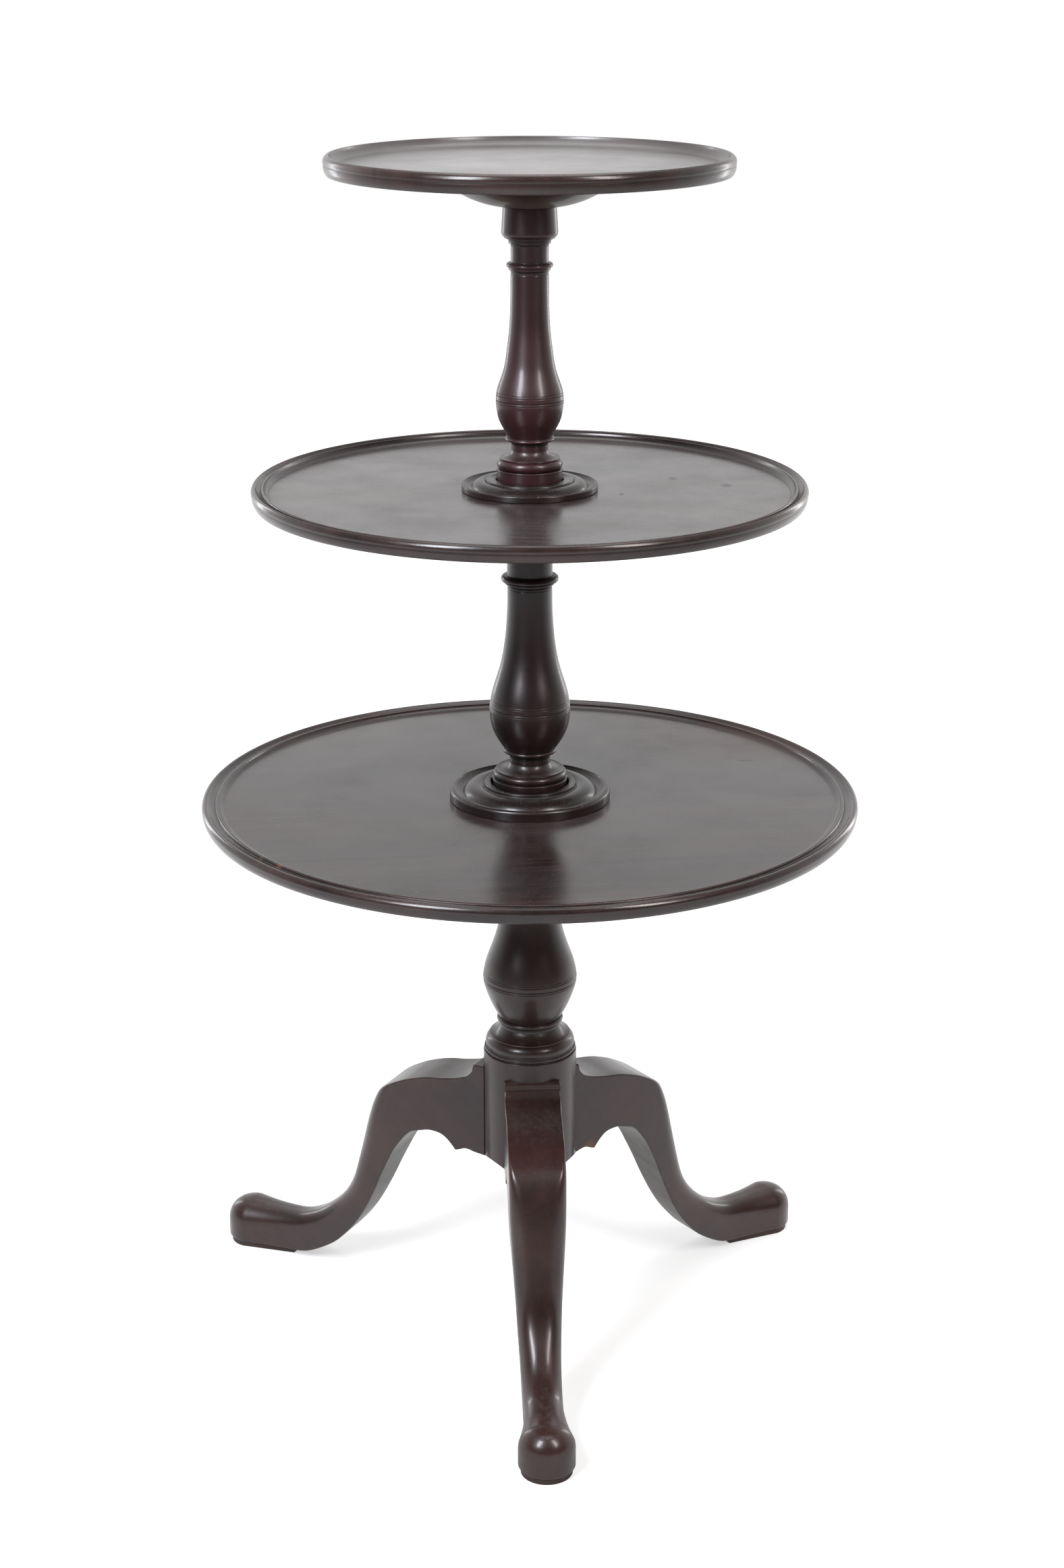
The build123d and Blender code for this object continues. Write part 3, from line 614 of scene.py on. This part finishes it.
def worn_and_shaded_colour(tree, wood, colour, deep, warm, dust):
    """The colour with rubbed edges lightened, partly as a painted highlight, painted shade and dust in
    the corners, and haze and lint on what is level.
    """
    # Rubbed edges lightened: worn wood, and partly a painted highlight along the edges
    rub_and_highlight = product(tree, spread(tree, wood.mottle, 0.40, 0.70, 0.0, 0.5), wood.rubbed_and_highlit)
    colour = blend_colours(tree, rub_and_highlight, colour, opaque(warm, 1.5))
    # Painted shade: hollows, corners and fine grooves darkened towards near-black
    colour = blend_colours(tree, product(tree, wood.hollow_shade_and_dust, 0.85), colour, opaque(deep, 0.35))
    settled = product(tree, wood.hollow_shade_and_dust, wood.ledge, dust)
    colour = blend_colours(tree, settled, colour, opaque(settled_dust))
    colour = blend_colours(tree, wood.haze, colour, opaque(wax_film))
    specks = spread(tree, noise(tree, wood.grain, 420.0, 2.0, 0.7), 0.66, 0.74)
    return blend_colours(tree, product(tree, specks, wood.ledge, dust), colour, opaque(lint))


def unpolished_colour(tree, wood, colour):
    """The colour with bare wood underneath and rasped wood on the raw faces."""
    bare = blend_colours(tree, wood.streaks, opaque(bare_deep), opaque(bare_warm))
    colour = blend_colours(tree, wood.underneath, colour, bare)
    rasped = blend_colours(tree, wood.mottle, opaque(rasped_deep), opaque(rasped_warm))
    return blend_colours(tree, product(tree, wood.raw, 0.8), colour, rasped)


def spotted_colour(tree, wood, colour, spots):
    """The colour with the marks of one piece on it, and where they lie, or None without marks."""
    spotted = None
    for centre, reach, tone, strength in spots:
        breakup = wood.clouds if reach[0] > broad_mark else wood.mottle
        patchy = spread(tree, breakup, 0.35, 0.65, 0.5 * strength, strength)
        mask = product(tree, spot(tree, wood.place, centre, reach), patchy)
        colour = blend_colours(tree, mask, colour, opaque(tone))
        spotted = mask if spotted is None else calculate(tree, "MAXIMUM", spotted, mask)
    return colour, spotted


def wood_roughness(tree, wood, polish, scratches, spotted):
    """The roughness of the polish, and more where it is rubbed, hazy, scratched, in a hollow or missing.
    """
    rough = spread(tree, noise(tree, wood.grain, 14.0, 4.0, 0.6), 0.3, 0.7, polish - 0.05, polish + 0.07)
    dull = [(wood.rubbed_and_highlit, 0.05), (wood.haze, 0.25), (scratches, 0.08), (wood.hollow_shade_and_dust, 0.25)]
    dull += [(wood.underneath, 0.40), (wood.raw, 0.25)]
    if spotted is not None:
        dull.append((spotted, 0.2))
    for mask, more in dull:
        rough = calculate(tree, "ADD", rough, product(tree, mask, more))
    return calculate(tree, "ADD", rough, 0.0, clamp=True)


def wood_relief(tree, wood, scratches):
    """The relief of the surface: slow waves, mottle, scratches, and rasp marks on the raw faces."""
    waves = noise(tree, stretched(tree, wood.grain, (14.0, 30.0, 30.0)), 1.0, 2.0, 0.5)
    inputs = {"Vector": wood.grain, "Scale": 28.0, "Distortion": 6.0, "Detail": 2.0}
    rasp = add_node(tree, "TexWave", inputs).outputs["Fac"]
    height = product(tree, waves, wave_height)
    height = calculate(tree, "ADD", height, product(tree, wood.mottle, mottle_height))
    height = calculate(tree, "SUBTRACT", height, product(tree, scratches, scratch_depth))
    height = calculate(tree, "ADD", height, product(tree, rasp, wood.raw, rasp_height))
    return add_node(tree, "Bump", {"Height": height, "Strength": 1.0, "Distance": 1.0}).outputs[0]


def spot(tree, place, centre, reach):
    """1 at a place's centre, fading to 0 at its reach along each axis."""
    offset = add_node(tree, "VectorMath", {0: place, 1: centre}, operation="SUBTRACT").outputs[0]
    share = add_node(tree, "VectorMath", {0: offset, 1: reach}, operation="DIVIDE").outputs[0]
    away = add_node(tree, "VectorMath", {0: share}, operation="LENGTH").outputs[1]
    return spread(tree, away, 1.0, 0.35)


def scratch_lines(tree, grain):
    """Thin curved scratches, at most places none."""
    total = None
    for angle, scale, wobble in ((0.4, 7.0, 0.15), (1.9, 9.0, 0.1), (2.8, 6.0, 0.2)):
        turned = add_node(tree, "Mapping", {"Vector": grain, "Rotation": (0, 0, angle)}).outputs[0]
        lines = noise(tree, stretched(tree, turned, (0.5, 6.0, 6.0)), scale, 0.0, 0.3, wobble)
        off = calculate(tree, "ABSOLUTE", calculate(tree, "SUBTRACT", lines, 0.5))
        thin = spread(tree, off, 0.0024, 0.0006)
        patches = spread(tree, noise(tree, turned, 7.0, 2.0, 0.5), 0.56, 0.66)
        line = product(tree, thin, patches)
        total = line if total is None else calculate(tree, "MAXIMUM", total, line)
    return total


def dark_iron(name, tone):
    """Old iron under dark oxide, with lighter rubbed spots."""
    material = bpy.data.materials.new(name)
    material.use_nodes = True
    tree = material.node_tree
    shader = tree.nodes["Principled BSDF"]
    place = add_node(tree, "TexCoord").outputs["Object"]
    scale = noise(tree, place, 260.0, 5.0, 0.65)
    rust = spread(tree, noise(tree, place, 90.0, 4.0, 0.6), 0.5, 0.68)
    colour = blend_colours(tree, scale, opaque(tone), opaque(tone, 2))
    colour = blend_colours(tree, rust, colour, opaque(rust_tone))
    tree.links.new(colour, shader.inputs["Base Color"])
    tree.links.new(spread(tree, scale, 0.3, 0.7, 0.45, 0.75), shader.inputs["Roughness"])
    bump = add_node(tree, "Bump", {"Height": scale, "Strength": 0.5, "Distance": 0.0004})
    tree.links.new(bump.outputs[0], shader.inputs["Normal"])
    shader.inputs["Metallic"].default_value = 0.7
    return material


# Turned pieces


def scribed_outline(node):
    """A turned node's outline, with the fine lines beside the bead where it has one."""
    outline = cut_outline(node)
    if node in belly_bead_heights:
        for side in (-1, 1):
            outline = scribe_line(outline, belly_bead_heights[node] + side * fine_line_spacing / 2)
    return outline


def dress_turned(node, facets, grain_way, material):
    """A fine turned mesh in place of a CAD node."""
    put_in_place(turn_outline(node + "_turned", scribed_outline(node), facets, grain_way), node, material)


def dress_base_column(material):
    """The base length, whose block has shallow arches in its foot between the legs."""
    node = "base_column"
    outline = scribed_outline(node)
    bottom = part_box(node)[0].z
    corner = next(place for place in outline if place[1] > bottom + block_arch_rise)
    upper = outline[outline.index(corner):]
    foot_radii = (0.0, block_arch_inner, block_arch_inner + edge_easing, corner[0])
    below = [(radius, bottom) for radius in foot_radii]
    piece = turn_outline("base_column_turned", below + upper, 2 * pillar_facets, upright_grain(0.31))
    directions = sorted(leg_directions.values())
    middles = [(one + two) / 2 for one, two in zip(directions, directions[1:] + [directions[0] + 360])]
    arc_radius = (block_arch_width**2 / 4 + block_arch_rise**2) / (2 * block_arch_rise)
    for vert in piece.data.vertices:
        share = 1 - (vert.co.z - bottom) / block_arch_blend
        if share <= 0:
            continue
        for middle in middles:
            along = vert.co.x * cos(radians(middle)) + vert.co.y * sin(radians(middle))
            across = vert.co.y * cos(radians(middle)) - vert.co.x * sin(radians(middle))
            if along > block_arch_inner and abs(across) < block_arch_width / 2:
                rise = block_arch_rise - (arc_radius - sqrt(arc_radius**2 - across**2))
                vert.co.z += max(rise, 0) * share
    put_in_place(piece, node, material)


# Legs


def curve_through(rows, steps):
    """Rows of numbers with smooth rows added between them, the same number between each two."""
    smooth = []
    for place in range(len(rows) - 1):
        here, after = rows[place], rows[place + 1]
        before = rows[max(place - 1, 0)]
        beyond = rows[min(place + 2, len(rows) - 1)]
        for step in range(steps):
            share = step / steps
            smooth.append([hermite(*values, share) for values in zip(before, here, after, beyond)])
    return smooth + [list(rows[-1])]


def hermite(before, here, after, beyond, share):
    """A smooth value between two, which never passes either of them."""
    rise_in, rise, rise_out = here - before, after - here, beyond - after
    slope_here = limited_slope(rise_in, rise)
    slope_after = limited_slope(rise, rise_out)
    value = (2 * share**3 - 3 * share**2 + 1) * here + (share**3 - 2 * share**2 + share) * slope_here
    return value + (3 * share**2 - 2 * share**3) * after + (share**3 - share**2) * slope_after


def limited_slope(rise_in, rise_out):
    """The mean of two rises, kept small enough for a curve that doesn't overshoot."""
    if rise_in * rise_out <= 0:
        return 0.0
    most = 3 * min(abs(rise_in), abs(rise_out))
    mean = (rise_in + rise_out) / 2
    return max(-most, min(most, mean))


def section_loop(outer, under, width, rounding, under_rounding):
    """The points round one section of a leg, from the middle of its underside, and how worn, with a
    painted highlight, and how raw each point is. The section lies between an outer and an under
    place given as run and height."""
    across = Vector((outer[0] - under[0], 0, outer[1] - under[1]))
    tall = across.length / 2
    across.normalize()
    middle = Vector(((outer[0] + under[0]) / 2, 0, (outer[1] + under[1]) / 2))
    half = width / 2
    corners = [(half, -tall, under_rounding, -pi / 2), (half, tall, rounding, 0.0)]
    corners += [(-half, tall, rounding, pi / 2), (-half, -tall, under_rounding, pi)]
    flat = []
    for side, up, radius, start in corners:
        centre = (side - radius * (1 if side > 0 else -1), up - radius * (1 if up > 0 else -1))
        for step in range(corner_steps + 1):
            angle = start + pi / 2 * step / corner_steps
            flat.append((centre[0] + radius * cos(angle), centre[1] + radius * sin(angle), up > 0))
    loop, wear_and_painted_light, raw = [], [], []
    for place, (side, up, worn_and_painted_light) in enumerate(flat):
        onward = flat[(place + 1) % len(flat)]
        steps = side_steps if place % (corner_steps + 1) == corner_steps else 1
        for step in range(steps):
            share = step / steps
            x = side + (onward[0] - side) * share
            y = up + (onward[1] - up) * share
            loop.append(middle + Vector((0, x, 0)) + across * y)
            # Sharp outer edges get the rubbed mark, whose lighter colour is partly a painted highlight
            wear_and_painted_light.append(max(0.0, 1 - rounding / worn_highlit_rounding) if worn_and_painted_light and steps == 1 else 0.0)
            raw.append(max(0.0, 1 - (up + tall) / under_rounding))
    return loop, wear_and_painted_light, raw


def leg_sections(start, run, pad, rise, foot_middle):
    """The points round each section of a leg, from the block to the foot, and how worn, with a painted
    highlight, and how raw each point is. The first sections are drawn in to meet the round block."""
    toe_share = (foot_middle - start) / run
    foot = (toe_share, foot_crest_share, toe_share, 0.0, foot_width / leg_thickness, foot_rounding_share)
    loops, marks = [], []
    for row in curve_through(leg_shares + [foot], section_steps):
        outer = (start + run * row[0], pad + rise * row[1])
        under = (start + run * row[2], pad + rise * row[3])
        width = row[4] * leg_thickness
        rounding = row[5] * leg_thickness
        loop, wear_and_painted_light, raw = section_loop(outer, under, width, rounding, under_edge_rounding)
        loops.append(loop)
        marks.append(list(zip(wear_and_painted_light, raw)))
    for point in loops[0]:
        point.x = min(start, sqrt(block_radius**2 - point.y**2)) - joint_overlap
    for place in range(1, section_steps):
        share = 1 - place / section_steps
        for first, point in zip(loops[0], loops[place]):
            point.x -= (start - first.x) * share
    return loops, marks


def skin_sections(work, loops, marks):
    """Closes the sections of a leg into a skin with an end at the block."""
    wear_and_light_layer = work.verts.layers.float.new("wear_and_painted_light")
    raw_layer = work.verts.layers.float.new("raw")
    rows = []
    for loop, mark in zip(loops, marks):
        rows.append([work.verts.new(point) for point in loop])
        for vert, (worn_and_painted_light, raw) in zip(rows[-1], mark):
            vert[wear_and_light_layer] = worn_and_painted_light
            vert[raw_layer] = raw
    for low, high in zip(rows, rows[1:]):
        for place in range(len(low)):
            onward = (place + 1) % len(low)
            work.faces.new((low[place], low[onward], high[onward], high[place]))
    work.faces.new(rows[0][::-1])


def skin_toe(work, last, foot_middle, crest_middle):
    """Closes the foot with half a turn of its last section about the middle of the foot."""
    half = [point for point in last if point.y > -same_place]
    half.sort(key=lambda point: atan2(point.z - crest_middle, point.y))
    rows = []
    for step in range(toe_steps + 1):
        angle = pi / 2 - pi * step / toe_steps
        places = [(foot_middle + point.y * cos(angle), point.y * sin(angle), point.z) for point in half]
        rows.append([work.verts.new(place) for place in places])
    for low, high in zip(rows, rows[1:]):
        for place in range(len(low) - 1):
            work.faces.new((low[place], low[place + 1], high[place + 1], high[place]))


def dress_leg(node, direction, material, seed):
    """One leg: a flat sawn board at the block that becomes round at the knee, with a pad foot."""
    turn = Matrix.Rotation(radians(direction), 4, "Z")
    corners = [turn.inverted() @ vert.co for vert in frame["nodes"][node].data.vertices]
    reach = max(corner.x for corner in corners)
    lip = max(corner.z for corner in corners)
    pad = min(corner.z for corner in corners)
    rise = lip - pad
    start = block_radius - leg_trims[node]
    foot_middle = reach - foot_width / 2
    loops, marks = leg_sections(start, reach - start, pad, rise, foot_middle)
    work = bmesh.new()
    grain_layer = work.verts.layers.float_vector.new("grain")
    skin_sections(work, loops, marks)
    skin_toe(work, loops[-1], foot_middle, pad + rise * foot_crest_share / 2)
    bmesh.ops.remove_doubles(work, verts=work.verts, dist=leg_merge)
    bmesh.ops.recalc_face_normals(work, faces=work.faces)
    slant = Matrix.Rotation(radians(leg_grain_slant), 3, "Y")
    for vert in work.verts:
        along = slant @ vert.co
        vert[grain_layer] = (along.x + seed, along.y + seed * 3, along.z + seed * 5)
    bmesh.ops.transform(work, matrix=turn, verts=work.verts)
    mesh = bpy.data.meshes.new(node + "_carved")
    work.to_mesh(mesh)
    work.free()
    mesh.polygons.foreach_set("use_smooth", [True] * len(mesh.polygons))
    piece = bpy.data.objects.new(node + "_carved", mesh)
    bpy.context.scene.collection.objects.link(piece)
    put_in_place(piece, node, material)


# The table

upper_wood = mahogany("upper_mahogany", deep_red, warm_red, coat=0.25)
pillar_wood = mahogany("pillar_mahogany", deep_brown, warm_brown, coat=0.25, spots=pillar_marks)
base_wood = mahogany("base_mahogany", base_deep, base_warm, coat=0.25)
leg_wood = mahogany("leg_mahogany", leg_deep, leg_warm, polish=0.34, coat=0.30, spots=leg_marks)
lower_wood = mahogany(
    "lower_tray_mahogany", tray_deep, tray_warm, polish=0.20, coat=0.15, film=0.14, spots=lower_marks
)
middle_wood = mahogany(
    "middle_tray_mahogany", tray_deep, tray_warm, polish=0.22, coat=0.15, film=0.22, spots=middle_marks
)
top_wood = mahogany(
    "top_tray_mahogany", tray_deep, tray_warm, polish=0.25, coat=0.15, dust=0.5, spots=top_marks
)
collar_wood = mahogany("collar_mahogany", deep_brown, collar_warm, polish=0.33, coat=0.2, dust=0.7)
pad_wood = mahogany("pad_wood", pad_deep, pad_warm, polish=0.55, coat=0.0, own_grain=False)

dress_turned("lower_tray", tray_facets, level_grain(8, 0.17), lower_wood)
dress_turned("middle_tray", tray_facets, level_grain(-6, 0.63), middle_wood)
dress_turned("top_tray", tray_facets, level_grain(34, 0.41), top_wood)
dress_turned("lower_tray_boss", pillar_facets, level_grain(98, 0.55), pillar_wood)
dress_turned("middle_tray_boss", pillar_facets, level_grain(69, 0.25), pillar_wood)
dress_turned("top_tray_boss", pillar_facets, level_grain(124, 0.75), pillar_wood)
dress_turned("lower_collar", pillar_facets, level_grain(40, 0.87), collar_wood)
dress_turned("middle_collar", pillar_facets, level_grain(15, 0.93), collar_wood)
dress_turned("lower_column", pillar_facets, upright_grain(0.11), pillar_wood)
dress_turned("upper_column", pillar_facets, upright_grain(0.71), upper_wood)
dress_base_column(base_wood)
for count, (node, direction) in enumerate(leg_directions.items()):
    dress_leg(node, direction, leg_wood, 0.23 + 0.31 * count)

brace_iron = dark_iron("brace_iron", brace_tone)
screw_iron = dark_iron("screw_iron", screw_tone)
for node, cad in frame["nodes"].items():
    if node.endswith("_screws"):
        cad.data.materials[0] = screw_iron
    elif node == "leg_brace_plate":
        cad.data.materials[0] = brace_iron
    elif node.endswith("_foot_pad"):
        cad.data.materials[0] = pad_wood


# Floor, light and camera


def make_floor():
    """A wide pale floor that keeps the table's soft shadow. It glows only towards the camera and in
    reflections, so it lights nothing."""
    mesh = bpy.data.meshes.new("floor")
    half = floor_width / 2
    corners = [(-half, -half, 0), (half, -half, 0), (half, half, 0), (-half, half, 0)]
    mesh.from_pydata(corners, [], [(0, 1, 2, 3)])
    floor = bpy.data.objects.new("floor", mesh)
    bpy.context.scene.collection.objects.link(floor)
    material = bpy.data.materials.new("floor_paper")
    material.use_nodes = True
    tree = material.node_tree
    tree.nodes.remove(tree.nodes["Principled BSDF"])
    place = add_node(tree, "TexCoord").outputs["Object"]
    smudge = spread(tree, noise(tree, place, 5.0, 4.0, 0.6), 0.3, 0.7, 0.93, 1.0)
    tint = blend_colours(tree, 1.0, (floor_white, floor_white, floor_white, 1), smudge, "MULTIPLY")
    paper = add_node(tree, "BsdfDiffuse", {"Color": tint}).outputs[0]
    parts = add_node(tree, "SeparateXYZ", {0: place}).outputs
    away = add_node(tree, "VectorMath", {0: place}, operation="LENGTH").outputs[1]
    level = spread(tree, away, floor_near, floor_far, floor_glow, 1.0)
    glow = add_node(tree, "Emission", {"Color": (1, 1, 1, 1), "Strength": level}).outputs[0]
    rays = add_node(tree, "LightPath")
    backward = calculate(tree, "DIVIDE", parts[1], away)
    mirrored = spread(tree, backward, floor_front, floor_back, 0.0, 1.0)
    mirrored = product(tree, rays.outputs["Is Glossy Ray"], mirrored)
    seen = calculate(tree, "MAXIMUM", rays.outputs["Is Camera Ray"], mirrored)
    dark = add_node(tree, "Emission", {"Strength": 0.0}).outputs[0]
    shown_glow = add_node(tree, "MixShader", {0: seen, 1: dark, 2: glow}).outputs[0]
    whole = add_node(tree, "AddShader", {0: paper, 1: shown_glow}).outputs[0]
    tree.links.new(whole, tree.nodes["Material Output"].inputs["Surface"])
    mesh.materials.append(material)


def make_world():
    """A white studio: white where it is seen, bright behind the table and dimmer in front of it."""
    world = bpy.data.worlds.new("studio")
    bpy.context.scene.world = world
    world.use_nodes = True
    tree = world.node_tree
    background = tree.nodes["Background"]
    way = add_node(tree, "TexCoord").outputs["Generated"]
    parts = add_node(tree, "SeparateXYZ", {0: way}).outputs
    bright = spread(tree, parts[1], *studio_turn, studio_front, studio_back)
    bright = product(tree, bright, spread(tree, parts[2], *studio_rise, 1.0, studio_above))
    rays = add_node(tree, "LightPath")
    level = add_node(tree, "Mix", {0: rays.outputs["Is Camera Ray"], 2: bright, 3: 1.0}).outputs[0]
    background.inputs["Color"].default_value = (1, 1, 1, 1)
    tree.links.new(level, background.inputs["Strength"])


def make_softbox(name, place, size, power, colour):
    """A soft rectangular lamp that faces the middle of the table."""
    lamp = bpy.data.lights.new(name, "AREA")
    lamp.shape = "RECTANGLE"
    lamp.size, lamp.size_y = size
    lamp.energy = power
    lamp.color = colour
    holder = bpy.data.objects.new(name, lamp)
    bpy.context.scene.collection.objects.link(holder)
    holder.location = place
    holder.rotation_euler = (Vector(lamp_target) - Vector(place)).to_track_quat("-Z", "Y").to_euler()


def make_camera():
    """The camera of the photograph."""
    camera = bpy.data.cameras.new("camera")
    camera.sensor_fit = "HORIZONTAL"
    camera.sensor_width = sensor_width
    camera.lens = camera_lens
    holder = bpy.data.objects.new("camera", camera)
    bpy.context.scene.collection.objects.link(holder)
    holder.location = camera_place
    holder.rotation_euler = (radians(90 - camera_pitch), 0, 0)
    bpy.context.scene.camera = holder


make_floor()
make_world()
for lamp in lamps:
    make_softbox(*lamp)
make_camera()
bpy.context.scene.view_settings.view_transform = "Standard"
